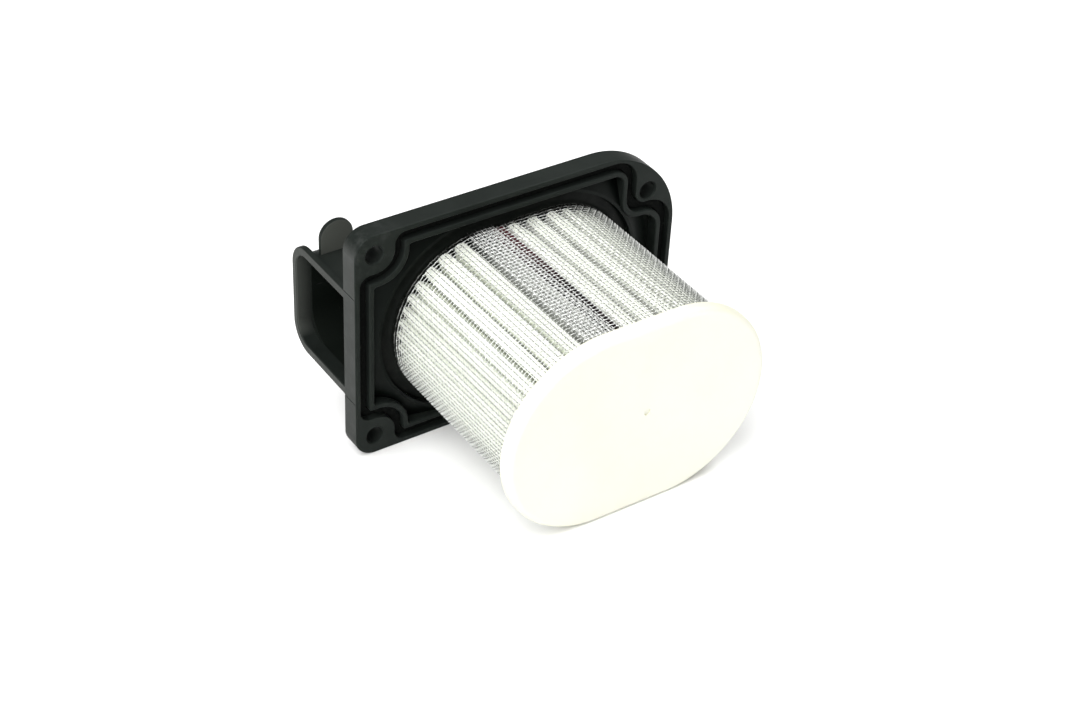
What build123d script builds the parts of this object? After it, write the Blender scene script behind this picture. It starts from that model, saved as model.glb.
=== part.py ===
from build123d import *
import math
import os

# Air filter cartridge with a flanged plastic base, an obround pleated element
# and a side-entry clean-air duct on the back of the base.
# Frame: origin at the middle of the flange's sealing face. X along the flange's
# long side, Z along its short side, Y through it: the element stands towards -Y
# and the duct hangs towards +Y. Millimetres.

# ---------------------------------------------------------------- dimensions
plate_l = 130.0          # flange length (X)
plate_h = 90.0           # flange height (Z)
plate_t = 7.7            # flange thickness (Y)
r_left = 7.5             # small corner radii at the duct mouth end
r_right = 33.5           # large corner radii at the other end
rim_w = 1.9              # flat land outside the groove
floor_t = 1.4            # depth of the relief on the back
edge_r = 0.4             # moulded radius of the flange's front edge
groove_r = 0.25          # moulded radius of the groove's outer edge
rib_r = 0.5              # moulded radius of the rib's two edges

hole_r = 3.3             # clearance for M6 screws
hole_lx, hole_lz = -57.5, 37.5    # left pair of screw holes
hole_rx, hole_rz = 52.5, 28.0     # right pair of screw holes

groove_w = 3.5           # seal groove width
groove_d = 4.0           # seal groove depth
rib_w = 2.0              # rib inside the groove
recess_d = 4.6           # pocket floor below the sealing face
notch_lx, notch_lz = -49.7, 29.9  # groove steps inside the left holes
notch_rx, notch_rz = 47.2, 23.5   # groove steps inside the right holes

el_x = -2.9              # element centre along X
el_a = 47.4              # element half length, over the mesh
el_b = 33.5              # element half width, over the mesh
el_y0 = 3.4              # element starts here, inside the base
el_y1 = -71.5            # element ends here, at the cap
mesh_t = 0.8             # wire mesh sleeve thickness
tip_off = 1.9            # pleat tips below the mesh's outer face
pleat_d = 13.2           # pleat depth
paper_t = 0.45           # paper thickness
n_arc = 17               # pleats round each end
n_flat = 4               # pleats along each flat
tip_w = 2.1              # half width of a pleat's outer fold
root_w = 0.3             # half width of its inner fold, outside
core_t = 1.0             # inner support sleeve thickness

trough_off = 4.3         # potting trough beyond the mesh
trough_y = 5.0           # trough floor
ledge_off = 5.4          # crest of the collar round the trough
ledge_y = 1.0
flare_off = 12.5         # foot of the collar's outer slope
outlet_off = 17.3        # outlet opening inside the core
meniscus_off = 1.9       # raised bead of potting round the mesh
meniscus_y = 1.8

cap_off = 3.5            # end cap beyond the mesh
cap_t = 5.0
cap_r = 2.4

clip_x = -8.9            # seam clip of the paper pack, on the top flat
clip_w = 6.2
clip_t = 0.7

duct_h = 20.8            # duct half height, outside
duct_y1 = 42.5           # duct depth
duct_x0 = -65.0          # mouth plane, flush with the flange's left side
duct_x1 = 33.4
duct_w = 1.8             # duct wall
duct_rc = 13.0           # far corner radius of the duct section
duct_re = 15.0           # closed end radius
mouth_h = 18.4           # mouth half height, inside
mouth_y1 = 41.2
mouth_d = 5.5            # depth of the thick mouth ring
lip_h = 21.8             # flange of the mouth
lip_y1 = 44.0
lip_t = 2.0
lip_r = 10.0
mouth_edge_r = 0.5       # moulded radius on the mouth's edges

tab_x, tab_z, tab_r = -54.8, 26.8, 6.3   # round locating tab on the duct
tab_y0, tab_y1 = 30.2, 31.9

os.makedirs("parts", exist_ok=True)


def plane_y(y):
    # drawing plane facing -Y at depth y: local x is X and local y is Z
    return Plane(origin=(0, y, 0), x_dir=(1, 0, 0), z_dir=(0, -1, 0))


def slot(off):
    # obround concentric with the element, off millimetres outside the mesh
    with Locations((el_x, 0)):
        SlotOverall(2 * (el_a + off), 2 * (el_b + off))


def stepped_border(inset):
    # outline of the seal groove, stepped inwards round each screw hole
    xl = -plate_l / 2 + rim_w + inset
    xr = plate_l / 2 - rim_w - inset
    zt = plate_h / 2 - rim_w - inset
    nlx, nlz = notch_lx + inset, notch_lz - inset
    nrx, nrz = notch_rx - inset, notch_rz - inset
    k = inset
    upper = [
        ((xl, nlz), max(4.0 - k, 1.0)),
        ((nlx, nlz), 7.6 + 0.75 * k),
        ((nlx, zt), max(4.0 - k, 1.0)),
        ((nrx, zt), max(9.5 - k, 2.0)),
        ((nrx, nrz), 4.8 + 0.6 * k),
        ((xr, nrz), 10.5 - 0.6 * k),
    ]
    lower = [((p[0], -p[1]), r) for p, r in reversed(upper)]
    pts = [((xl, 0), 0.0)] + upper + [((xr, 0), 0.0)] + lower
    # straight runs joined by tangent arcs
    n = len(pts)
    seg = []
    for i in range(n):
        p = Vector(*pts[i][0])
        r = pts[i][1]
        a = Vector(*pts[i - 1][0])
        b = Vector(*pts[(i + 1) % n][0])
        if r == 0:
            seg.append((p, p, None))
            continue
        da, db = (a - p).normalized(), (b - p).normalized()
        c = p + da * r + db * r
        s = p + da * r
        e = p + db * r
        m = c + (p - c).normalized() * r
        seg.append((s, e, m))
    for i in range(n):
        s, e, m = seg[i]
        nxt = seg[(i + 1) % n][0]
        if m is not None:
            ThreePointArc((s.X, s.Y), (m.X, m.Y), (e.X, e.Y))
        Line((e.X, e.Y), (nxt.X, nxt.Y))


# ---------------------------------------------------------------- base plate
# Sloped collar round the potting trough, kept inside the rib.
with BuildPart() as collar:
    with BuildSketch(plane_y(recess_d)):
        slot(flare_off)
    with BuildSketch(plane_y(ledge_y)):
        slot(ledge_off)
    loft()
    with BuildSketch(plane_y(recess_d)) as inside_rib:
        with BuildLine():
            stepped_border(groove_w + 0.5 * rib_w)
        make_face()
    extrude(amount=recess_d, mode=Mode.INTERSECT)

with BuildPart() as base_plate:
    with BuildSketch(plane_y(plate_t)) as outline:
        Rectangle(plate_l, plate_h)
        fillet(outline.vertices().group_by(Axis.X)[0], r_left)
        fillet(outline.vertices().group_by(Axis.X)[-1], r_right)
    extrude(amount=plate_t)
    # seal groove
    with BuildSketch(plane_y(0)):
        with BuildLine():
            stepped_border(0)
        make_face()
        with BuildLine():
            stepped_border(groove_w)
        make_face(mode=Mode.SUBTRACT)
    extrude(amount=-groove_d, mode=Mode.SUBTRACT)
    # pocket inside the rib
    with BuildSketch(plane_y(0)):
        with BuildLine():
            stepped_border(groove_w + rib_w)
        make_face()
    extrude(amount=-recess_d, mode=Mode.SUBTRACT)
    # moulded radii on the edges of the sealing face
    rib_face, rim_face = base_plate.faces().filter_by_position(Axis.Y, -0.01, 0.01).sort_by(
        lambda f: f.bounding_box().size.X)
    rim_outer, rim_inner = rim_face.outer_wire().edges(), rim_face.inner_wires()[0].edges()
    rib_edges = rib_face.outer_wire().edges() + rib_face.inner_wires()[0].edges()
    fillet(rib_edges, rib_r)
    fillet(rim_outer, edge_r)
    fillet(rim_inner, groove_r)
    add(collar.part)
    # potting trough and outlet opening
    with BuildSketch(plane_y(trough_y)):
        slot(trough_off)
    extrude(amount=trough_y + 1, mode=Mode.SUBTRACT)
    with BuildSketch(plane_y(plate_t)):
        slot(-outlet_off)
    extrude(amount=plate_t, mode=Mode.SUBTRACT)
    # relief on the back, leaving the skirt, the screw bosses and the duct seat
    with BuildSketch(plane_y(plate_t)) as relief:
        Rectangle(plate_l - 4.6, plate_h - 4.6)
        fillet(relief.vertices().group_by(Axis.X)[0], r_left - 2.3)
        fillet(relief.vertices().group_by(Axis.X)[-1], r_right - 2.3)
        with Locations((el_x, 0)):
            SlotOverall(2 * (el_a + 6.0), 2 * (el_b + 6.0), mode=Mode.SUBTRACT)
        with Locations((hole_lx, hole_lz), (hole_lx, -hole_lz), (hole_rx, hole_rz), (hole_rx, -hole_rz)):
            Circle(7.0, mode=Mode.SUBTRACT)
        with Locations((-plate_l / 2, 0)):
            Rectangle(60, 2 * lip_h + 2, mode=Mode.SUBTRACT)
    extrude(amount=floor_t, mode=Mode.SUBTRACT)
    # screw holes
    with BuildSketch(plane_y(plate_t)):
        with Locations((hole_lx, hole_lz), (hole_lx, -hole_lz), (hole_rx, hole_rz), (hole_rx, -hole_rz)):
            Circle(hole_r)
    extrude(amount=plate_t, mode=Mode.SUBTRACT)
    mouths = base_plate.edges().filter_by(GeomType.CIRCLE).filter_by_position(Axis.Y, -0.01, 0.01)
    chamfer([e for e in mouths if abs(e.radius - hole_r) < 0.01], 0.35)
    # two fine joint lines across the left side, in line with the duct mouth
    with BuildSketch(Plane.YZ.offset(-plate_l / 2)):
        with Locations((plate_t / 2 + 0.4, lip_h), (plate_t / 2 + 0.4, -lip_h)):
            Rectangle(plate_t, 0.3)
    extrude(amount=0.3, mode=Mode.SUBTRACT)

# ---------------------------------------------------------------- duct
with BuildPart() as duct_core:
    # cavity of the duct, as a solid, cut from the shell below
    with BuildSketch(Plane.YZ.offset(duct_x0 + mouth_d)) as cav:
        with Locations(((plate_t - 2 + duct_y1 - duct_w) / 2, 0)):
            Rectangle(duct_y1 - duct_w - plate_t + 2, 2 * (duct_h - duct_w))
        fillet(cav.vertices().group_by(Axis.X)[-1], duct_rc - duct_w)
    extrude(amount=duct_x1 - duct_w - duct_x0 - mouth_d)
    with BuildSketch(Plane.XY.offset(-duct_h)) as cav_end:
        with Locations(((duct_x1 - duct_w - 80) / 2, (duct_y1 - duct_w - 10) / 2)):
            Rectangle(duct_x1 - duct_w + 80, duct_y1 - duct_w + 10)
        fillet(cav_end.vertices().group_by(Axis.X)[-1].sort_by(Axis.Y)[-1:], duct_re - duct_w)
    extrude(amount=2 * duct_h, mode=Mode.INTERSECT)

with BuildPart() as intake_duct:
    with BuildSketch(Plane.YZ.offset(duct_x0)) as sec:
        with Locations(((plate_t + duct_y1) / 2, 0)):
            Rectangle(duct_y1 - plate_t, 2 * duct_h)
        fillet(sec.vertices().group_by(Axis.X)[-1], duct_rc)
    extrude(amount=duct_x1 - duct_x0)
    with BuildSketch(Plane.XY.offset(-duct_h)) as sec_end:
        with Locations(((duct_x1 - 80) / 2, (duct_y1 - 10) / 2)):
            Rectangle(duct_x1 + 80, duct_y1 + 10)
        fillet(sec_end.vertices().group_by(Axis.X)[-1].sort_by(Axis.Y)[-1:], duct_re)
    extrude(amount=2 * duct_h, mode=Mode.INTERSECT)
    # mouth flange
    with BuildSketch(Plane.YZ.offset(duct_x0)) as lip:
        with Locations(((plate_t + lip_y1) / 2, 0)):
            Rectangle(lip_y1 - plate_t, 2 * lip_h)
        fillet(lip.vertices().group_by(Axis.X)[-1], lip_r)
    extrude(amount=lip_t)
    # round locating tab
    with BuildSketch(plane_y(tab_y1)):
        with Locations((tab_x, tab_z)):
            Circle(tab_r)
        with Locations((tab_x, (tab_z + duct_h - 1.2) / 2)):
            Rectangle(2 * tab_r, tab_z - duct_h + 1.2)
    extrude(amount=tab_y1 - tab_y0)
    # hollow it out
    add(duct_core.part, mode=Mode.SUBTRACT)
    with BuildSketch(Plane.YZ.offset(duct_x0)) as mouth:
        with Locations(((plate_t - 2 + mouth_y1) / 2, 0)):
            Rectangle(mouth_y1 - plate_t + 2, 2 * mouth_h)
        fillet(mouth.vertices().group_by(Axis.X)[-1], 7.0)
    extrude(amount=mouth_d + 0.1, mode=Mode.SUBTRACT)
    # moulded radii round the mouth and round its flange
    mouth_face = intake_duct.faces().sort_by(Axis.X)[0]
    fillet([e for e in mouth_face.edges() if e.center().Y > plate_t + 0.1], mouth_edge_r)
    # the tab's rim
    tab_rim = intake_duct.edges().filter_by(GeomType.CIRCLE).filter_by(
        lambda e: abs(e.radius - tab_r) < 0.01 and e.center().Y < tab_y1 + 0.1 and e.center().Y > tab_y0 - 0.1)
    fillet(tab_rim, 0.35)

# ---------------------------------------------------------------- seal
with BuildPart() as flange_seal:
    with BuildSketch(plane_y(groove_d)):
        with BuildLine():
            stepped_border(0.3)
        make_face()
        with BuildLine():
            stepped_border(groove_w - 0.3)
        make_face(mode=Mode.SUBTRACT)
    extrude(amount=1.7)

# ---------------------------------------------------------------- potting
with BuildPart() as base_potting:
    with BuildSketch(plane_y(trough_y)):
        slot(trough_off)
        with Locations((el_x, 0)):
            SlotOverall(2 * (el_a - 16.9), 2 * (el_b - 16.9), mode=Mode.SUBTRACT)
    extrude(amount=trough_y - el_y0)
    with BuildSketch(plane_y(el_y0)):
        slot(meniscus_off)
        with Locations((el_x, 0)):
            SlotOverall(2 * el_a, 2 * el_b, mode=Mode.SUBTRACT)
    extrude(amount=el_y0 - meniscus_y)

# ---------------------------------------------------------------- element
el_len = el_y0 - el_y1

with BuildPart() as outer_mesh:
    with BuildSketch(plane_y(el_y0)):
        slot(0)
        with Locations((el_x, 0)):
            SlotOverall(2 * (el_a - mesh_t), 2 * (el_b - mesh_t), mode=Mode.SUBTRACT)
    extrude(amount=el_len)


def station(k):
    # base point, outward normal and tangent of the k-th half pleat
    flat = el_a - el_b
    na, nf = 2 * n_arc, 2 * n_flat
    k = k % (2 * (na + nf))
    if k < nf:
        x = -flat + 2 * flat * k / nf
        return (el_x + x, el_b), (0, 1), (1, 0)
    if k < nf + na:
        t = math.pi / 2 - math.pi * (k - nf) / na
        n = (math.cos(t), math.sin(t))
        return (el_x + flat + el_b * n[0], el_b * n[1]), n, (n[1], -n[0])
    if k < 2 * nf + na:
        x = flat - 2 * flat * (k - nf - na) / nf
        return (el_x + x, -el_b), (0, -1), (-1, 0)
    t = -math.pi / 2 - math.pi * (k - 2 * nf - na) / na
    n = (math.cos(t), math.sin(t))
    return (el_x - flat + el_b * n[0], el_b * n[1]), n, (n[1], -n[0])


def star(tip, tip_w, root, root_w):
    out = []
    for k in range(4 * (n_arc + n_flat)):
        (bx, bz), (nx, nz), (tx, tz) = station(k)
        off, w = (tip, tip_w) if k % 2 == 0 else (root, root_w)
        for s in (-1, 1):
            out.append((bx - nx * off + tx * w * s, bz - nz * off + tz * w * s))
    return out


with BuildPart() as pleated_media:
    with BuildSketch(plane_y(el_y0)):
        Polygon(*star(tip_off, tip_w, tip_off + pleat_d - paper_t, root_w), align=None)
        Polygon(*star(tip_off + paper_t, tip_w - paper_t, tip_off + pleat_d, root_w + paper_t),
                align=None, mode=Mode.SUBTRACT)
    extrude(amount=el_len)

with BuildPart() as media_seam_clip:
    with BuildSketch(Plane.XY.offset(el_b - tip_off)):
        with Locations((clip_x, (el_y0 + el_y1) / 2)):
            Rectangle(clip_w, el_len)
    extrude(amount=clip_t)

core_off = tip_off + pleat_d + 0.2
with BuildPart() as inner_core:
    with BuildSketch(plane_y(el_y0)):
        slot(-core_off)
        with Locations((el_x, 0)):
            SlotOverall(2 * (el_a - core_off - core_t), 2 * (el_b - core_off - core_t), mode=Mode.SUBTRACT)
    extrude(amount=el_len)

with BuildPart() as end_cap:
    with BuildSketch(plane_y(el_y1)):
        slot(cap_off)
    extrude(amount=cap_t)
    fillet(end_cap.faces().sort_by(Axis.Y)[0].edges(), cap_r)
    fillet(end_cap.faces().sort_by(Axis.Y)[-1].edges(), 0.5)
    # small moulding gate dimple in the middle of the face
    with BuildSketch(plane_y(el_y1 - cap_t)):
        with Locations((el_x + 2.5, 2.5)):
            Circle(1.3)
    extrude(amount=-0.5, mode=Mode.SUBTRACT)

for name, block in (
    ("base_plate", base_plate),
    ("intake_duct", intake_duct),
    ("flange_seal", flange_seal),
    ("base_potting", base_potting),
    ("outer_mesh", outer_mesh),
    ("pleated_media", pleated_media),
    ("media_seam_clip", media_seam_clip),
    ("inner_core", inner_core),
    ("end_cap", end_cap),
):
    block.part.label = name
    export_step(block.part, f"parts/{name}.step")
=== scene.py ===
import math

import bpy
import numpy as np
from mathutils import Matrix, Vector


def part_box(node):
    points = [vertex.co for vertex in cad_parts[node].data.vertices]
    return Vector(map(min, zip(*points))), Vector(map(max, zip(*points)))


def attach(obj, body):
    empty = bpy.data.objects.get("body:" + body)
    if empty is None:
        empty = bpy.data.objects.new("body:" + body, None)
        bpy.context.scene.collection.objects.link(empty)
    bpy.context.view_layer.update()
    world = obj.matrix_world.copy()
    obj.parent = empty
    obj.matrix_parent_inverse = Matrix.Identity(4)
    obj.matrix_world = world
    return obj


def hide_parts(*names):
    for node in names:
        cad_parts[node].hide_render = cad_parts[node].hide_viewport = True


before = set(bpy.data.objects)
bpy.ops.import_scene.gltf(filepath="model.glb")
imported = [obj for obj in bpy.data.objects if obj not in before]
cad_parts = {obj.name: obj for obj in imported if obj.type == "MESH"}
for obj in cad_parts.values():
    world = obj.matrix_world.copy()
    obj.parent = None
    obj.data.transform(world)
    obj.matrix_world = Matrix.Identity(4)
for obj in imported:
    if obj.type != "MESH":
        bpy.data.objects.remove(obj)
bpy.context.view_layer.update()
MM = 0.001
rng = np.random.default_rng(20261117)
scene = bpy.context.scene

# ------------------------------------------------------------------ element outline
mesh_lo, mesh_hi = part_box("outer_mesh")
paper_lo, paper_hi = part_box("pleated_media")
core_lo, core_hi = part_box("inner_core")
cap_lo, cap_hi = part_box("end_cap")
plate_lo, plate_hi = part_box("base_plate")
clip_lo, clip_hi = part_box("media_seam_clip")
pot_lo, pot_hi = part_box("base_potting")

EX = 0.5 * (mesh_lo.x + mesh_hi.x) / MM            # element centre along X
EA = 0.5 * (mesh_hi.x - mesh_lo.x) / MM            # half length over the mesh
R = 0.5 * (mesh_hi.z - mesh_lo.z) / MM             # half width over the mesh
F = EA - R                                         # half length of a flat
PER = 4 * F + 2 * math.pi * R                      # outline length at the mesh
Y_BASE = mesh_hi.y / MM                            # the element's end in the base
Y_CAP = mesh_lo.y / MM                             # the element's end in the cap
TIP = R - paper_hi.z / MM                          # pleat tips below the mesh's outside
ROOT = R - core_hi.z / MM - 0.2                    # pleat roots


def outline(s, off=0.0):
    """Point (x, z) and outward normal (nx, nz) at arc length s, measured on the mesh
    from the middle of the top flat towards +X, off millimetres inside the mesh."""
    s = np.mod(np.asarray(s, float) + F, PER)
    off = np.broadcast_to(np.asarray(off, float), s.shape)
    x, z, nx, nz = (np.empty_like(s) for _ in range(4))
    a = s < 2 * F
    x[a], z[a], nx[a], nz[a] = s[a] - F, R, 0.0, 1.0
    b = (s >= 2 * F) & (s < 2 * F + math.pi * R)
    t = (s[b] - 2 * F) / R
    x[b], z[b], nx[b], nz[b] = F + R * np.sin(t), R * np.cos(t), np.sin(t), np.cos(t)
    c = (s >= 2 * F + math.pi * R) & (s < 4 * F + math.pi * R)
    u = s[c] - 2 * F - math.pi * R
    x[c], z[c], nx[c], nz[c] = F - u, -R, 0.0, -1.0
    d = s >= 4 * F + math.pi * R
    t = (s[d] - 4 * F - math.pi * R) / R
    x[d], z[d], nx[d], nz[d] = -F - R * np.sin(t), -R * np.cos(t), -np.sin(t), -np.cos(t)
    return EX + x - nx * off, z - nz * off, nx, nz


def smooth(t):
    t = np.clip(t, 0, 1)
    return t * t * (3 - 2 * t)


def drift(seed, x, scale, amp):
    """Smooth seeded wander along x."""
    g = np.random.default_rng(seed)
    out = np.zeros_like(np.asarray(x, float))
    for k in range(4):
        f = (0.6 + 0.9 * k) / scale
        out = out + np.sin(2 * math.pi * (f * x + g.random())) * (g.random() * 0.6 + 0.4) / (k + 1.0)
    return amp * out / 1.6


# ------------------------------------------------------------------ mesh helpers
def make_object(name, verts, faces, material, shade=True):
    me = bpy.data.meshes.new(name)
    me.from_pydata((np.asarray(verts) * MM).tolist(), [], [tuple(f) for f in faces])
    me.validate()
    if shade:
        me.polygons.foreach_set("use_smooth", np.ones(len(me.polygons), bool))
    me.materials.append(material)
    ob = bpy.data.objects.new(name, me)
    scene.collection.objects.link(ob)
    return ob


def tubes(centres, e1, e2, radius, sides):
    """Closed round wires. centres, e1 and e2 are (wires, points, 3)."""
    w, n, _ = centres.shape
    ang = 2 * math.pi * np.arange(sides) / sides
    ring_painted_light = (
        centres[:, :, None, :]
        + radius * (np.cos(ang)[None, None, :, None] * e1[:, :, None, :] + np.sin(ang)[None, None, :, None] * e2[:, :, None, :])
    )
    verts = ring_painted_light.reshape(-1, 3)
    i, j, k = np.meshgrid(np.arange(w), np.arange(n - 1), np.arange(sides), indexing="ij")
    k2 = (k + 1) % sides
    base = i * n * sides
    quads = np.stack(
        [base + j * sides + k, base + j * sides + k2, base + (j + 1) * sides + k2, base + (j + 1) * sides + k], -1
    ).reshape(-1, 4)
    faces = quads.tolist()
    for q in range(w):
        b = q * n * sides
        faces.append(list(range(b + sides - 1, b - 1, -1)))
        e = b + (n - 1) * sides
        faces.append(list(range(e, e + sides)))
    return verts, faces


def fix_normals(ob):
    import bmesh
    bm = bmesh.new()
    bm.from_mesh(ob.data)
    bmesh.ops.recalc_face_normals(bm, faces=bm.faces)
    bm.to_mesh(ob.data)
    bm.free()


# ------------------------------------------------------------------ materials
def material(name):
    m = bpy.data.materials.new(name)
    m.use_nodes = True
    nt = m.node_tree
    return m, nt, nt.nodes["Principled BSDF"]


def noise(nt, scale, detail=4.0, rough=0.55, coord=None, stretch=None):
    n = nt.nodes.new("ShaderNodeTexNoise")
    n.inputs["Scale"].default_value = scale
    n.inputs["Detail"].default_value = detail
    n.inputs["Roughness"].default_value = rough
    src = nt.nodes.new("ShaderNodeTexCoord").outputs["Object"] if coord is None else coord
    if stretch is not None:
        mp = nt.nodes.new("ShaderNodeMapping")
        mp.inputs["Scale"].default_value = stretch
        nt.links.new(src, mp.inputs["Vector"])
        src = mp.outputs["Vector"]
    nt.links.new(src, n.inputs["Vector"])
    return n


def ramp(nt, value, stops):
    r = nt.nodes.new("ShaderNodeValToRGB")
    els = r.color_ramp.elements
    while len(els) < len(stops):
        els.new(0.5)
    for e, (p, c) in zip(els, stops):
        e.position = p
        e.color = (c, c, c, 1) if isinstance(c, float) else (*c, 1)
    nt.links.new(value, r.inputs["Fac"])
    return r


def bump(nt, height, strength, distance, normal=None):
    b = nt.nodes.new("ShaderNodeBump")
    b.inputs["Strength"].default_value = strength
    b.inputs["Distance"].default_value = distance
    nt.links.new(height, b.inputs["Height"])
    if normal is not None:
        nt.links.new(normal, b.inputs["Normal"])
    return b


def axis_mask(nt, value, edge0, edge1):
    """0 below edge0 and 1 above edge1, or the other way round if edge0 is the larger."""
    r = nt.nodes.new("ShaderNodeMapRange")
    r.clamp = True
    lo, hi = min(edge0, edge1), max(edge0, edge1)
    r.inputs["From Min"].default_value = lo
    r.inputs["From Max"].default_value = hi
    r.inputs["To Min"].default_value = 0.0 if edge0 < edge1 else 1.0
    r.inputs["To Max"].default_value = 1.0 if edge0 < edge1 else 0.0
    nt.links.new(value, r.inputs["Value"])
    return r.outputs["Result"]


def both(nt, a, b):
    m = nt.nodes.new("ShaderNodeMath")
    m.operation = "MULTIPLY"
    nt.links.new(a, m.inputs[0])
    nt.links.new(b, m.inputs[1])
    return m.outputs["Value"]


def mix_colour(nt, fac, a, b):
    mx = nt.nodes.new("ShaderNodeMix")
    mx.data_type = "RGBA"
    nt.links.new(fac, mx.inputs["Factor"])
    nt.links.new(a, mx.inputs["A"])
    if isinstance(b, tuple):
        mx.inputs["B"].default_value = (*b, 1)
    else:
        nt.links.new(b, mx.inputs["B"])
    return mx.outputs["Result"]


def plastic(name, dark, light, rough_lo, rough_hi, kind):
    m, nt, p = material(name)
    cloud = noise(nt, 55.0, 5.0, 0.6)
    col = ramp(nt, cloud.outputs["Fac"], [(0.32, dark), (0.68, light)]).outputs["Color"]
    tc = nt.nodes.new("ShaderNodeTexCoord")
    xyz = nt.nodes.new("ShaderNodeSeparateXYZ")
    nt.links.new(tc.outputs["Object"], xyz.inputs["Vector"])
    geo = nt.nodes.new("ShaderNodeNewGeometry")
    nrm = nt.nodes.new("ShaderNodeSeparateXYZ")
    nt.links.new(geo.outputs["Normal"], nrm.inputs["Vector"])
    if kind == "plate":
        # painted shade: the pocket, groove and collar are painted darker than the land, as they sit in shade
        deep = axis_mask(nt, xyz.outputs["Y"], 0.0004, 0.0011)
        front = axis_mask(nt, nrm.outputs["Y"], -0.15, -0.45)
        painted_recess_shade = both(nt, deep, front)
        col = mix_colour(nt, painted_recess_shade, col, (0.0012, 0.0019, 0.0015))
        # the pocket is painted paler towards the rounded end
        pocket_paler_at_end = both(nt, painted_recess_shade, axis_mask(nt, xyz.outputs["X"], 0.040, 0.054))
        col = mix_colour(nt, pocket_paler_at_end, col, (0.0062, 0.0078, 0.0069))
    else:
        # painted light: the inner wall of the duct's mouth ring is painted paler, as lit through the opening
        ring_painted_light = both(nt, axis_mask(nt, nrm.outputs["Y"], -0.55, -0.90), axis_mask(nt, xyz.outputs["X"], -0.0588, -0.0652))
        col = mix_colour(nt, ring_painted_light, col, (0.060, 0.064, 0.058))
        # painted light: the tab's front face is painted paler, as lit from the front left
        tab_painted_light = both(nt, axis_mask(nt, nrm.outputs["Y"], -0.80, -0.97), axis_mask(nt, xyz.outputs["Z"], 0.0208, 0.0212))
        col = mix_colour(nt, tab_painted_light, col, (0.074, 0.079, 0.070))
        # painted shade: the duct's inside beyond its mouth ring is painted near black
        inside = both(nt, axis_mask(nt, xyz.outputs["X"], -0.0598, -0.0590), axis_mask(nt, xyz.outputs["Y"], 0.0413, 0.0409))
        flat = nt.nodes.new("ShaderNodeMath")
        flat.operation = "ABSOLUTE"
        nt.links.new(xyz.outputs["Z"], flat.inputs[0])
        painted_recess_shade = both(nt, inside, axis_mask(nt, flat.outputs["Value"], 0.0195, 0.0191))
        col = mix_colour(nt, painted_recess_shade, col, (0.0046, 0.0060, 0.0048))
    # painted light: the end wall and the mouth's flange, facing the light from the left, are painted a paler grey
    end_wall_painted_light = axis_mask(nt, nrm.outputs["X"], -0.72, -0.985)
    outside = axis_mask(nt, xyz.outputs["X"], -0.0622, -0.0645)
    col = mix_colour(nt, both(nt, end_wall_painted_light, outside), col, (0.0245, 0.0268, 0.0248) if kind == "plate" else (0.031, 0.0335, 0.0305))
    # scuffs: short pale scratches where the moulding has been handled
    sc = noise(nt, 700.0, 2.0, 0.5, stretch=(0.16, 1.0, 1.0))
    scr = ramp(nt, sc.outputs["Fac"], [(0.70, 0.0), (0.78, 1.0)])
    patch = ramp(nt, noise(nt, 38.0, 2.0).outputs["Fac"], [(0.52, 0.0), (0.66, 0.75)])
    col = mix_colour(nt, both(nt, scr.outputs["Color"], patch.outputs["Color"]), col, (0.055, 0.058, 0.056))
    # the handled top-left corner is painted paler in blotches: partly rubbing wear, partly painted light falling on the
    # top of the land
    if kind == "plate":
        corner_wear_and_light = both(nt, axis_mask(nt, xyz.outputs["X"], -0.046, -0.060), axis_mask(nt, xyz.outputs["Z"], 0.026, 0.040))
        blot = ramp(nt, noise(nt, 210.0, 4.0, 0.6).outputs["Fac"], [(0.48, 0.0), (0.67, 0.60)])
        col = mix_colour(nt, both(nt, corner_wear_and_light, blot.outputs["Color"]), col, (0.038, 0.041, 0.039))
    nt.links.new(col, p.inputs["Base Color"])
    streak = noise(nt, 90.0, 3.0, 0.6, stretch=(0.35, 1.0, 1.6))
    ro = ramp(nt, streak.outputs["Fac"], [(0.3, rough_lo), (0.7, rough_hi)])
    nt.links.new(ro.outputs["Color"], p.inputs["Roughness"])
    fine = noise(nt, 4200.0, 2.0, 0.6)
    wave = noise(nt, 160.0, 2.0, 0.5)
    b1 = bump(nt, wave.outputs["Fac"], 0.18, 0.00025)
    b2 = bump(nt, fine.outputs["Fac"], 0.22, 0.00004, b1.outputs["Normal"])
    nt.links.new(b2.outputs["Normal"], p.inputs["Normal"])
    p.inputs["Specular IOR Level"].default_value = 0.085
    p.inputs["Specular Tint"].default_value = (0.88, 1.0, 0.93, 1)
    return m


m_plate = plastic("satin_black_plate", (0.0088, 0.0110, 0.0097), (0.0134, 0.0162, 0.0145), 0.36, 0.48, "plate")
m_duct = plastic("satin_black_duct", (0.0088, 0.0108, 0.0096), (0.0136, 0.0160, 0.0144), 0.38, 0.50, "duct")


def rubber():
    m, nt, p = material("foam_seal_rubber")
    n = noise(nt, 900.0, 4.0, 0.65)
    c = ramp(nt, n.outputs["Fac"], [(0.35, (0.0020, 0.0026, 0.0022)), (0.7, (0.0062, 0.0072, 0.0064))])
    nt.links.new(c.outputs["Color"], p.inputs["Base Color"])
    b = bump(nt, n.outputs["Fac"], 0.5, 0.0002)
    nt.links.new(b.outputs["Normal"], p.inputs["Normal"])
    p.inputs["Roughness"].default_value = 0.82
    p.inputs["Specular IOR Level"].default_value = 0.06
    return m


m_seal = rubber()


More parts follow.
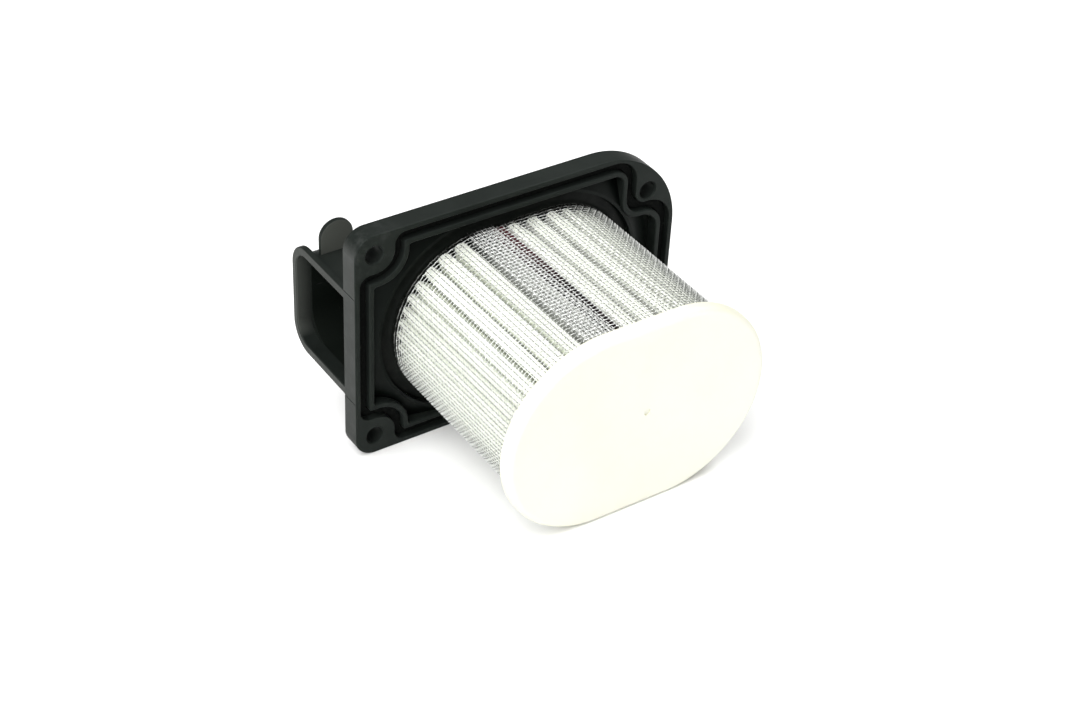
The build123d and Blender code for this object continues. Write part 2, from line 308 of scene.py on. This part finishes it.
def potting():
    m, nt, p = material("potting_compound")
    n = noise(nt, 240.0, 5.0, 0.6)
    c = ramp(nt, n.outputs["Fac"], [(0.3, (0.0020, 0.0030, 0.0024)), (0.72, (0.0050, 0.0062, 0.0050))])
    nt.links.new(c.outputs["Color"], p.inputs["Base Color"])
    r = ramp(nt, noise(nt, 130.0, 3.0).outputs["Fac"], [(0.3, 0.30), (0.7, 0.48)])
    nt.links.new(r.outputs["Color"], p.inputs["Roughness"])
    b = bump(nt, noise(nt, 420.0, 3.0).outputs["Fac"], 0.35, 0.0003)
    nt.links.new(b.outputs["Normal"], p.inputs["Normal"])
    p.inputs["Specular IOR Level"].default_value = 0.05
    return m


m_pot = potting()


def cap_material():
    m, nt, p = material("cream_polyurethane")
    cloud = noise(nt, 28.0, 5.0, 0.55)
    c = ramp(nt, cloud.outputs["Fac"], [(0.25, (0.712, 0.710, 0.618)), (0.75, (0.756, 0.754, 0.676))])
    geo = nt.nodes.new("ShaderNodeNewGeometry")
    nrm = nt.nodes.new("ShaderNodeSeparateXYZ")
    nt.links.new(geo.outputs["Normal"], nrm.inputs["Vector"])
    # painted shade: the cap's side faces, turned away from the front, are painted a deeper cream
    side_painted_shade = axis_mask(nt, nrm.outputs["Y"], -0.93, -0.70)
    col = mix_colour(nt, side_painted_shade, c.outputs["Color"], (0.715, 0.712, 0.585))
    nt.links.new(col, p.inputs["Base Color"])
    ro = ramp(nt, noise(nt, 60.0, 4.0).outputs["Fac"], [(0.3, 0.42), (0.7, 0.58)])
    nt.links.new(ro.outputs["Color"], p.inputs["Roughness"])
    wave = noise(nt, 45.0, 2.0, 0.5)
    pores = noise(nt, 2600.0, 2.0, 0.6)
    b1 = bump(nt, wave.outputs["Fac"], 0.15, 0.0006)
    b2 = bump(nt, pores.outputs["Fac"], 0.12, 0.00005, b1.outputs["Normal"])
    nt.links.new(b2.outputs["Normal"], p.inputs["Normal"])
    p.inputs["Subsurface Weight"].default_value = 0.12
    p.inputs["Subsurface Radius"].default_value = (0.004, 0.003, 0.002)
    p.inputs["Subsurface Scale"].default_value = 0.5
    return m


m_cap = cap_material()


def paper():
    m, nt, p = material("filter_paper")
    fibre = noise(nt, 1300.0, 5.0, 0.7, stretch=(1.0, 0.45, 1.0))
    cloud = noise(nt, 120.0, 3.0, 0.5)
    mix = nt.nodes.new("ShaderNodeMix")
    mix.data_type = "RGBA"
    mix.blend_type = "MULTIPLY"
    mix.inputs["Factor"].default_value = 1.0
    a = ramp(nt, fibre.outputs["Fac"], [(0.25, (0.85, 0.87, 0.80)), (0.7, (0.955, 0.975, 0.900))])
    b = ramp(nt, cloud.outputs["Fac"], [(0.3, (0.93, 0.94, 0.92)), (0.7, (1.0, 1.0, 0.99))])
    nt.links.new(a.outputs["Color"], mix.inputs["A"])
    nt.links.new(b.outputs["Color"], mix.inputs["B"])
    # painted shade: deep paper in the seam trough, under the lapped mesh, is painted grey
    trough_shade = nt.nodes.new("ShaderNodeAttribute")
    trough_shade.attribute_type = "GEOMETRY"
    trough_shade.attribute_name = "trough_shade"
    trough_shade_colour = ramp(nt, noise(nt, 190.0, 4.0).outputs["Fac"], [(0.3, (0.17, 0.175, 0.16)), (0.7, (0.36, 0.37, 0.34))])
    # painted shade: the seam trough is painted darker still towards the base
    tc = nt.nodes.new("ShaderNodeTexCoord")
    xyz = nt.nodes.new("ShaderNodeSeparateXYZ")
    nt.links.new(tc.outputs["Object"], xyz.inputs["Vector"])
    ragged = nt.nodes.new("ShaderNodeMath")
    ragged.operation = "MULTIPLY_ADD"
    nt.links.new(noise(nt, 150.0, 3.0).outputs["Fac"], ragged.inputs[0])
    ragged.inputs[1].default_value = 0.008
    nt.links.new(xyz.outputs["Y"], ragged.inputs[2])
    base_shade = axis_mask(nt, ragged.outputs["Value"], -0.0170, 0.0015)
    trough_and_base_shade = mix_colour(nt, base_shade, trough_shade_colour.outputs["Color"], (0.050, 0.055, 0.048))
    col = mix_colour(nt, trough_shade.outputs["Fac"], mix.outputs["Result"], trough_and_base_shade)
    # painted shade: the deep folds on the side away from the light are painted darker
    fold_shade = nt.nodes.new("ShaderNodeAttribute")
    fold_shade.attribute_type = "GEOMETRY"
    fold_shade.attribute_name = "fold_shade"
    fold_shade_colour = ramp(nt, noise(nt, 230.0, 4.0).outputs["Fac"], [(0.3, (0.30, 0.30, 0.28)), (0.7, (0.50, 0.50, 0.47))])
    col = mix_colour(nt, fold_shade.outputs["Fac"], col, fold_shade_colour.outputs["Color"])
    nt.links.new(col, p.inputs["Base Color"])
    bp = bump(nt, fibre.outputs["Fac"], 0.35, 0.00012)
    nt.links.new(bp.outputs["Normal"], p.inputs["Normal"])
    p.inputs["Roughness"].default_value = 0.92
    p.inputs["Specular IOR Level"].default_value = 0.2
    return m


m_paper = paper()


def wire(name, lo, hi, r_lo, r_hi, metal=1.0, dip=False, crest_highlight=False):
    m, nt, p = material(name)
    n = noise(nt, 420.0, 4.0, 0.6)
    col = ramp(nt, n.outputs["Fac"], [(0.3, lo), (0.7, hi)]).outputs["Color"]
    if crest_highlight:
        # painted highlight: the wires are painted pale and less metallic where they cross, as if catching the light
        at = nt.nodes.new("ShaderNodeAttribute")
        at.attribute_type = "GEOMETRY"
        at.attribute_name = "crest_highlight"
        k = axis_mask(nt, at.outputs["Fac"], 0.56, 0.86)
        col = mix_colour(nt, k, col, (0.88, 0.89, 0.87))
        mr = nt.nodes.new("ShaderNodeMapRange")
        mr.inputs["To Min"].default_value = 1.0
        mr.inputs["To Max"].default_value = 0.30
        nt.links.new(k, mr.inputs["Value"])
        nt.links.new(mr.outputs["Result"], p.inputs["Metallic"])
    nt.links.new(col, p.inputs["Base Color"])
    r = ramp(nt, noise(nt, 900.0, 3.0).outputs["Fac"], [(0.3, r_lo), (0.7, r_hi)])
    nt.links.new(r.outputs["Color"], p.inputs["Roughness"])
    if not crest_highlight:
        p.inputs["Metallic"].default_value = metal
    if dip:
        # the compound climbs the wires and leaves them black for the first millimetres
        tc = nt.nodes.new("ShaderNodeTexCoord")
        xyz = nt.nodes.new("ShaderNodeSeparateXYZ")
        nt.links.new(tc.outputs["Object"], xyz.inputs["Vector"])
        wet = nt.nodes.new("ShaderNodeMath")
        wet.operation = "MULTIPLY_ADD"
        nt.links.new(noise(nt, 160.0, 2.0).outputs["Fac"], wet.inputs[0])
        wet.inputs[1].default_value = 0.004
        nt.links.new(xyz.outputs["Y"], wet.inputs[2])
        k = axis_mask(nt, wet.outputs["Value"], 0.0008, 0.0026)
        nt.links.new(mix_colour(nt, k, col, (0.045, 0.048, 0.045)), p.inputs["Base Color"])
    return m


# painted light and shade: axial and hoop wires are one steel wire, painted darker along the element and paler round it,
# for how each catches the light
m_wire = wire("axial_wire_shade_and_highlight", (0.20, 0.21, 0.20), (0.36, 0.37, 0.36), 0.16, 0.28, dip=True, crest_highlight=True)
m_hoop = wire("hoop_wire_painted_light", (0.66, 0.67, 0.66), (0.86, 0.87, 0.85), 0.24, 0.34, dip=True)
m_core = wire("core_wire", (0.34, 0.34, 0.34), (0.48, 0.48, 0.47), 0.36, 0.52)


def strip():
    m, nt, p = material("dark_seam_strip")
    n = noise(nt, 300.0, 4.0, 0.65)
    c = ramp(nt, n.outputs["Fac"], [(0.3, (0.0040, 0.0022, 0.0024)), (0.58, (0.0100, 0.0038, 0.0046)), (0.82, (0.040, 0.0090, 0.0120))])
    tc = nt.nodes.new("ShaderNodeTexCoord")
    xyz = nt.nodes.new("ShaderNodeSeparateXYZ")
    nt.links.new(tc.outputs["Object"], xyz.inputs["Vector"])
    red = axis_mask(nt, xyz.outputs["Y"], -0.036, 0.000)
    col = mix_colour(nt, red, c.outputs["Color"], (0.085, 0.020, 0.026))
    nt.links.new(col, p.inputs["Base Color"])
    r = ramp(nt, noise(nt, 500.0, 3.0).outputs["Fac"], [(0.3, 0.38), (0.7, 0.6)])
    nt.links.new(r.outputs["Color"], p.inputs["Roughness"])
    b = bump(nt, n.outputs["Fac"], 0.3, 0.00015)
    nt.links.new(b.outputs["Normal"], p.inputs["Normal"])
    p.inputs["Specular IOR Level"].default_value = 0.14
    return m


m_strip = strip()

for node, mat in (("base_plate", m_plate), ("intake_duct", m_duct), ("flange_seal", m_seal), ("end_cap", m_cap)):
    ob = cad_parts[node]
    if not ob.material_slots:
        ob.data.materials.append(mat)
    for slot in ob.material_slots:
        slot.material = mat

# ------------------------------------------------------------------ woven sleeve
WIRE_R = 0.152
PITCH_S = 1.62                    # axial wires, round the outline
PITCH_Y = 1.56                    # hoop wires, along the element
LAP0, LAP1 = -18.6, -8.5          # the lap of the sheet's two ends, at the base
SKEW = 1.5                        # how far the wires lean towards +X at the cap
SHIFT = 0.62                      # hoop wires come round this much off
SHEET = PER + (LAP1 - LAP0)
Y0, Y1 = Y_BASE - 0.1, Y_CAP - 0.9

n_ax = int(SHEET / PITCH_S)
n_hp = int((Y0 - Y1) / PITCH_Y)
PITCH_S = SHEET / n_ax
PITCH_Y = (Y0 - Y1) / n_hp


def sheet_off(u):
    """Depth of the sheet's middle below the mesh's outside: its start lies under its end."""
    lap = LAP1 - LAP0
    under = 1.0 - smooth((u - lap) / 9.0)
    over = smooth((u - (SHEET - lap - 9.0)) / 9.0)
    return 0.40 + 0.50 * under - 0.22 * over


def sheet_point(u, y, off_add):
    """Point on the sheet. u is the length along the sheet, y is where it lies."""
    under = 1.0 - smooth((u - 9.0) / 12.0)
    s = LAP0 + u + SKEW * (Y0 - y) / (Y0 - Y1) + under * 0.55 * np.sin((Y0 - y) / 19.0) * smooth(u / 3.0)
    y = np.clip(y + under * (0.045 * (u - 5.0) + 0.15), Y1, Y0)
    off = sheet_off(u) + off_add
    x, z, nx, nz = outline(s, off)
    return np.stack([x, y, z], -1), np.stack([nx, np.zeros_like(nx), nz], -1)


AMP = 0.145
# axial wires: two points for each crossing
iu = np.arange(n_ax + 1)
jy = np.arange(2 * n_hp + 1)
I, J = np.meshgrid(iu, jy, indexing="ij")
u = np.clip(I * PITCH_S, 0.2, SHEET - 0.2).astype(float)
y = Y0 - J * 0.5 * PITCH_Y
wander = drift(3, I * 1.0, 19.0, 0.10) * np.sin(math.pi * J / (2 * n_hp)) + 0.05 * rng.standard_normal(I.shape[0])[:, None]
wander = wander + drift(5, y + 7.1 * (I % 5), 31.0, 0.05)
wave = AMP * np.cos(math.pi * (J / 2.0 + I))
pts, nrm = sheet_point(u + wander, y, wave)
tang = np.stack([nrm[..., 2], np.zeros_like(nrm[..., 0]), -nrm[..., 0]], -1)
v, f = tubes(pts, nrm, tang, WIRE_R, 5)
axial = make_object("mesh_axial_wires", v, f, m_wire)
# painted highlight: the axial wires over the lap are painted partly pale along their whole length
from_lap = np.mod(LAP0 + u + 19.0, PER)
lap_highlight = np.where(from_lap < 19.0 - 8.2, 0.71, np.where(from_lap < 19.0 - 3.6, 0.60, 0.0))
# painted highlight at the crossings
crest_highlight = np.maximum((J % 2 == 0).astype(np.float32), lap_highlight)
crest_highlight = np.repeat(crest_highlight.astype(np.float32).reshape(-1), 5)
assert len(crest_highlight) == len(axial.data.vertices)
axial.data.attributes.new("crest_highlight", "FLOAT", "POINT").data.foreach_set("value", crest_highlight)

# hoop wires: two points for each crossing
jy = np.arange(n_hp + 1)
iu = np.arange(2 * n_ax + 1)
J, I = np.meshgrid(jy, iu, indexing="ij")
u = np.clip(I * 0.5 * PITCH_S, 0.0, SHEET)
y = Y0 - J * PITCH_Y + SHIFT * (u / SHEET - 0.5) + drift(11, J * 1.0, 13.0, 0.10) + drift(13, u + 3.3 * (J % 7), 47.0, 0.06)
y = np.clip(y, Y1, Y0)
wave = -AMP * np.cos(math.pi * (J + I / 2.0))
pts, nrm = sheet_point(u, y, wave)
axis = np.zeros_like(nrm)
axis[..., 1] = 1.0
v, f = tubes(pts, nrm, axis, WIRE_R, 5)
hoops = make_object("mesh_hoop_wires", v, f, m_hoop)

for ob in (axial, hoops):
    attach(ob, "root")
    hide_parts("outer_mesh")

# ------------------------------------------------------------------ pleated paper
left = [-26.1, -33.8, -40.5, -46.4, -52.1, -57.7, -62.6, -68.4]
right = [3.9, 11.4, 18.9, 25.7]
span = PER + left[-1] - right[-1]
n_mid = int(round(span / 6.2))
mid = right[-1] + span * (np.arange(1, n_mid) / n_mid)
mid = mid + rng.uniform(-0.45, 0.45, mid.shape)
GAPS = np.array(right + mid.tolist() + [g + PER for g in reversed(left)])
SEAM_A, SEAM_B = LAP0 + PER, -3.6          # the pack's two ends, each side of the seam
edges = np.concatenate([[SEAM_B], GAPS, [SEAM_A]])
gap_half = np.concatenate([[0.8], rng.uniform(0.70, 1.20, len(GAPS)), [0.8]])
gap_half[len(GAPS) - 0] = 1.30             # the wide gap beside the lap
paper_th = 0.42


gap_open = rng.uniform(0.34, 0.52, len(edges))
gap_open[0] = 0.4
for k, (h, o) in {1: (1.05, 0.50), 2: (1.25, 0.62), 3: (1.15, 0.55), 4: (1.10, 0.50)}.items():
    gap_half[k], gap_open[k] = h, o
for k, (h, o) in {0: (0.95, 0.60), 1: (0.66, 0.36), 2: (0.82, 0.44), 3: (0.62, 0.28), 5: (0.68, 0.28)}.items():
    gap_half[len(GAPS) - k], gap_open[len(GAPS) - k] = h, o
for k in (4, 6, 7, 8, 9, 10):
    gap_half[len(GAPS) - k], gap_open[len(GAPS) - k] = 0.62 + 0.04 * (k % 3), 0.22


def pleat_profile():
    """Outer face of the paper pack as (s, off, centre of its pleat), from one end round to the other."""
    pts = []
    for k in range(len(edges) - 1):
        a, b = edges[k], edges[k + 1]
        ga, gb = gap_half[k], gap_half[k + 1]
        oa, ob = gap_open[k], gap_open[k + 1]
        tip = TIP + rng.uniform(-0.05, 0.35)
        lean = rng.uniform(-0.35, 0.35)
        root = ROOT - 0.6
        c = 0.5 * (a + b)
        row = []
        if k == 0:
            row += [(a + 0.35, root), (a + 0.30, 11.0), (a + 0.22, 8.6)]
        row += [(a + ga * oa, 7.0), (a + ga * (0.3 + 0.7 * oa), 5.2), (a + ga * (0.62 + 0.36 * oa), 3.9)]
        l, r = a + ga, b - gb
        m = 0.5 * (l + r) + lean
        for t in np.linspace(0, 1, 13):
            ang = math.pi * (1 - t)
            cx = math.cos(ang)
            sx = m + (cx * (m - l) if cx < 0 else cx * (r - m))
            so = tip + (3.1 - tip) * (1 - abs(math.sin(ang)) ** 0.62)
            row.append((sx, so))
        row += [(b - gb * (0.62 + 0.36 * ob), 3.9), (b - gb * (0.3 + 0.7 * ob), 5.2), (b - gb * ob, 7.0)]
        if k < len(edges) - 2:
            row += [(b - gb * ob * 0.75, 9.0), (b - 0.27, 12.0), (b - 0.22, root - 0.25), (b, root)]
            pts += [(q[0], q[1], c) for q in row]
            n2 = 0.5 * (edges[k + 1] + edges[k + 2])
            pts += [(b + 0.22, root - 0.25, n2), (b + 0.27, 12.0, n2), (b + gb * ob * 0.75, 9.0, n2)]
        else:
            row += [(b - 0.22, 8.6), (b - 0.30, 11.0), (b - 0.35, root)]
            pts += [(q[0], q[1], c) for q in row]
    return np.array(pts)


prof = pleat_profile()
# the two ends are folded back into the seam trough and meet under the strip
floor_s = PER + np.array([-18.0, -17.8, -17.3, -16.5, -15.5, -14.5, -13.5, -12.5, -11.5, -10.5, -9.6, -8.95, -8.6, -8.32, -8.18, -8.15, -8.15, -6.5, -5.0, -4.1])
floor_o = np.array([9.5, 7.6, 5.6, 4.5, 4.1, 4.0, 4.1, 3.95, 4.05, 3.9, 3.8, 3.7, 3.75, 4.1, 5.0, 6.4, 7.6, 8.3, 8.6, 9.2])
prof = np.concatenate([prof, np.stack([floor_s, floor_o, floor_s], -1)])


def paper_sheet(prof, name):
    """The profile is drawn along the element as a closed sheet of even thickness."""
    ny = 41
    n = len(prof)
    ys = np.linspace(Y_BASE - 0.15, Y_CAP - 0.25, ny)
    S = np.repeat(prof[:, 0][None, :], ny, 0)
    O = np.repeat(prof[:, 1][None, :], ny, 0)
    Y = np.repeat(ys[:, None], n, 1)
    C = np.repeat(prof[:, 2][None, :], ny, 0)
    depth = smooth((9.0 - O) / 7.0)
    # both ends of each pleat are drawn in where they enter the potting and the cap
    ends = np.maximum(smooth(1.0 - (Y0 - Y) / 11.0), 0.45 * smooth(1.0 - (Y - Y1) / 7.0))
    S = S + (C - S) * 0.27 * ends * smooth((8.5 - O) / 5.0)
    O = O + 0.22 * ends * smooth((7.5 - O) / 4.0)
    S = S + SKEW * 0.75 * (Y0 - Y) / (Y0 - Y1)
    S = S + depth * (drift(21, S * 0.9 + Y * 0.11, 17.0, 0.22) + drift(23, Y + S * 2.3, 34.0, 0.16))
    O = O + depth * (drift(29, Y * 0.8 + S * 3.1, 26.0, 0.16))
    O = np.maximum(O, TIP - 0.1)
    x, z, nx, nz = outline(S, O)
    P = np.stack([x, Y, z], -1)
    # offset inwards along the section's own normal
    d = np.roll(P, -1, 1) - np.roll(P, 1, 1)
    nn = np.stack([-d[..., 2], np.zeros_like(x), d[..., 0]], -1)
    nn /= np.maximum(np.linalg.norm(nn, axis=-1, keepdims=True), 1e-9)
    Q = P - nn * paper_th * 0.5
    P = P + nn * paper_th * 0.0
    V = np.concatenate([P.reshape(-1, 3), Q.reshape(-1, 3)])
    off = ny * n
    faces = []
    for j in range(ny - 1):
        for i in range(n):
            i2 = (i + 1) % n
            a, b, c, e = j * n + i, j * n + i2, (j + 1) * n + i2, (j + 1) * n + i
            faces.append((a, b, c, e))
            faces.append((off + a, off + e, off + c, off + b))
    for i in range(n):
        i2 = (i + 1) % n
        faces.append((i, off + i, off + i2, i2))
        j = (ny - 1) * n
        faces.append((j + i, j + i2, off + j + i2, off + j + i))
    ob = make_object(name, V, faces, m_paper)
    # painted shade mask for the deep paper in the seam trough
    sb = np.mod(S - (SEAM_A + 0.4), PER)
    g = smooth((O - 2.6) / 1.6) * (sb < (SEAM_B + PER + 0.9 - SEAM_A - 0.4)).astype(float)
    # painted shade mask for the deep folds
    sr = np.mod(S + 3.0, PER)
    fold_shade = smooth((O - 2.5) / 2.6) * smooth(sr / 3.0) * smooth((75.0 - sr) / 15.0)
    at = ob.data.attributes.new("fold_shade", "FLOAT", "POINT")
    at.data.foreach_set("value", np.concatenate([fold_shade.reshape(-1), fold_shade.reshape(-1)]).astype(np.float32))
    at = ob.data.attributes.new("trough_shade", "FLOAT", "POINT")
    at.data.foreach_set("value", np.concatenate([g.reshape(-1), g.reshape(-1)]).astype(np.float32))
    return ob


pleats = paper_sheet(prof, "pleated_paper")
fix_normals(pleats)
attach(pleats, "root")
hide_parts("pleated_media")

# ------------------------------------------------------------------ seam strip
def seam_strip():
    """Folded channel that grips the pack's two ends: a crowned web with rolled edges and two legs."""
    w = 2.2
    c0 = -6.05
    sec = [(-w, 6.6), (-w - 0.02, 4.0), (-w, 2.35), (-w + 0.12, 1.92), (-w + 0.45, 1.72), (-w + 1.0, 1.66), (0.0, 1.62),
           (w - 1.0, 1.66), (w - 0.45, 1.72), (w - 0.12, 1.92), (w, 2.35), (w + 0.02, 4.0), (w, 6.6)]
    inn = [(a * 0.80, b + (0.38 if abs(a) < w - 0.2 else 0.0)) for a, b in reversed(sec)]
    loop = np.array(sec + inn)
    ny = 49
    ys = np.linspace(Y_BASE - 0.6, Y_CAP - 0.2, ny)
    n = len(loop)
    V, faces = [], []
    for j, yy in enumerate(ys):
        lean = 1.05 * (Y0 - yy) / (Y0 - Y1)
        narrow = 1.0 - 0.10 * (Y0 - yy) / (Y0 - Y1)
        crimp = 0.10 * (0.5 + 0.5 * math.cos(2 * math.pi * yy / 6.1)) ** 6
        s = c0 + lean + loop[:, 0] * narrow + drift(41, np.full(n, yy), 40.0, 0.10)
        o = loop[:, 1] + crimp
        x, z, _, _ = outline(s, o)
        V.append(np.stack([x, np.full(n, yy), z], -1))
    for j in range(ny - 1):
        for i in range(n):
            i2 = (i + 1) % n
            faces.append((j * n + i, j * n + i2, (j + 1) * n + i2, (j + 1) * n + i))
    faces.append(tuple(range(n - 1, -1, -1)))
    faces.append(tuple(range((ny - 1) * n, ny * n)))
    return make_object("seam_channel", np.concatenate(V), faces, m_strip)


clip = seam_strip()
fix_normals(clip)
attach(clip, "root")
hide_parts("media_seam_clip")

# ------------------------------------------------------------------ inner core
CORE = ROOT + 0.75
core_per = 4 * F + 2 * math.pi * (R - CORE)
n_cs, n_cy = 62, 29
si = np.concatenate([np.linspace(-F, F, 12, endpoint=False),
                     np.linspace(F, F + math.pi * R, 20, endpoint=False),
                     np.linspace(F + math.pi * R, 3 * F + math.pi * R, 12, endpoint=False),
                     np.linspace(3 * F + math.pi * R, PER - F, 20, endpoint=False)])
yy = np.linspace(Y_BASE - 0.4, Y_CAP + 0.1, 2)
S, Yv = np.meshgrid(si, yy, indexing="ij")
x, z, nx, nz = outline(S, CORE + 0.22)
pts = np.stack([x, Yv, z], -1)
nrm = np.stack([nx, np.zeros_like(nx), nz], -1)
tang = np.stack([nz, np.zeros_like(nx), -nx], -1)
v1, f1 = tubes(pts, nrm, tang, 0.26, 8)
sh = np.linspace(-F, PER - F, 193)
yh = np.linspace(Y_BASE - 1.4, Y_CAP + 1.2, n_cy)
Yh, S = np.meshgrid(yh, sh, indexing="ij")
x, z, nx, nz = outline(S, CORE - 0.22)
pts = np.stack([x, Yh, z], -1)
nrm = np.stack([nx, np.zeros_like(nx), nz], -1)
axis = np.zeros_like(nrm)
axis[..., 1] = 1.0
v2, f2 = tubes(pts, nrm, axis, 0.26, 8)
core = make_object("core_grid", np.concatenate([v1, v2]), f1 + [[i + len(v1) for i in q] for q in f2], m_core)
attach(core, "root")
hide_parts("inner_core")

# ------------------------------------------------------------------ potting
def potting_ring():
    """Cast ring in the trough: a level surface that climbs the mesh outside, covers the
    pleat ends inside and runs back to the core."""
    trough = (pot_hi.x - pot_lo.x) / 2 / MM - EA       # how far it lies outside the mesh
    bottom = pot_hi.y / MM
    prof = [
        (-trough, bottom), (-trough, 3.05), (-trough + 0.18, 2.85), (-trough + 0.7, 2.72), (-trough + 1.6, 2.66),
        (-1.3, 2.50), (-0.75, 2.28), (-0.35, 2.02), (-0.12, 1.80), (0.10, 1.66), (0.45, 1.56), (0.85, 1.50),
        (1.4, 1.46), (2.4, 1.42), (4.2, 1.40), (8.0, 1.40), (12.0, 1.40), (14.6, 1.42), (15.4, 1.44), (16.1, 1.55),
        (16.6, 1.75), (16.85, 2.2), (16.9, 3.0), (16.9, bottom)]
    prof = np.array(prof)
    ns = 420
    s = np.linspace(-F, PER - F, ns, endpoint=False)
    rows = []
    for k in range(len(prof)):
        off, y = prof[k]
        free = 0.0 if k in (0, len(prof) - 1) else 1.0
        edge = 0.0 if k in (0, 1, len(prof) - 2, len(prof) - 1) else 1.0
        yv = y + free * (drift(61 + k // 3, s, 38.0, 0.12) + drift(71 + k // 2, s, 9.0, 0.05))
        ov = off + edge * drift(81 + k // 3, s, 23.0, 0.07)
        x, z, _, _ = outline(s, ov)
        rows.append(np.stack([x, yv, z], -1))
    V = np.concatenate(rows)
    faces = []
    m = len(prof)
    for k in range(m):
        k2 = (k + 1) % m
        for i in range(ns):
            i2 = (i + 1) % ns
            faces.append((k * ns + i, k * ns + i2, k2 * ns + i2, k2 * ns + i))
    return make_object("potting_ring", V, faces, m_pot)


pot = potting_ring()
fix_normals(pot)
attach(pot, "root")
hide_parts("base_potting")

# ------------------------------------------------------------------ floor
TILT = math.radians(-6.12)        # the filter rests on the flange's lower edge and on the cap
fm, fnt, fp = material("pale_floor")
fn = noise(fnt, 14.0, 4.0)
fr = ramp(fnt, fn.outputs["Fac"], [(0.3, (0.90, 0.90, 0.895)), (0.7, (0.94, 0.94, 0.935))])
fnt.links.new(fr.outputs["Color"], fp.inputs["Base Color"])
fp.inputs["Roughness"].default_value = 0.7
fp.inputs["Specular IOR Level"].default_value = 0.2
bpy.ops.mesh.primitive_grid_add(x_subdivisions=8, y_subdivisions=8, size=4.0)
floor = bpy.context.object
floor.name = "floor"
floor.data.materials.append(fm)
floor.matrix_world = Matrix.Translation((0, 0, -0.04497)) @ Matrix.Rotation(TILT, 4, "X")

# ------------------------------------------------------------------ light
world = bpy.data.worlds.new("studio")
scene.world = world
world.use_nodes = True
wn = world.node_tree
bg = wn.nodes["Background"]
bg.inputs["Color"].default_value = (1.0, 1.0, 0.995, 1)
bg.inputs["Strength"].default_value = 0.30


def area(name, loc, target, size, power, color=(1, 1, 1), size_y=None):
    li = bpy.data.lights.new(name, "AREA")
    li.energy = power
    li.color = color
    li.shape = "RECTANGLE"
    li.size = size
    li.size_y = size_y or size
    ob = bpy.data.objects.new(name, li)
    scene.collection.objects.link(ob)
    ob.location = loc
    d = Vector(target) - Vector(loc)
    ob.rotation_euler = d.to_track_quat("-Z", "Y").to_euler()
    return ob


sun = bpy.data.lights.new("soft_key", "SUN")
sun.energy = 3.45
sun.angle = math.radians(55)
key = bpy.data.objects.new("soft_key", sun)
scene.collection.objects.link(key)
key.rotation_euler = (-Vector((-0.72, -0.22, 1.00))).to_track_quat("-Z", "Y").to_euler()
area("softbox_back_right", (0.50, 0.02, 0.95), (0, -0.03, 0.02), 1.30, 7.8, size_y=0.42)
area("softbox_left", (-0.95, -0.55, 0.45), (0, -0.04, 0), 0.5, 4.0)

# ------------------------------------------------------------------ camera
az, el, roll = math.radians(-35.34), math.radians(37.02), math.radians(3.19)
dist = 0.74960
target = Vector((0.010287, 0.0, -0.030627))
back = Vector((math.sin(az) * math.cos(el), -math.cos(az) * math.cos(el), math.sin(el)))
fwd = -back
right_v = fwd.cross(Vector((0, 0, 1))).normalized()
up = right_v.cross(fwd).normalized()
rx = right_v * math.cos(roll) + up * math.sin(roll)
ux = -right_v * math.sin(roll) + up * math.cos(roll)
rot = Matrix((rx, ux, back)).transposed().to_4x4()
cd = bpy.data.cameras.new("camera")
cd.sensor_fit = "HORIZONTAL"
cd.sensor_width = 36.0
cd.lens = 69.77
cd.clip_start = 0.01
cd.clip_end = 50.0
cam = bpy.data.objects.new("camera", cd)
scene.collection.objects.link(cam)
cam.matrix_world = Matrix.Translation(target + back * dist) @ rot
scene.camera = cam

scene.view_settings.view_transform = "Standard"
scene.view_settings.look = "None"
scene.view_settings.exposure = 0.0
scene.view_settings.gamma = 1.0
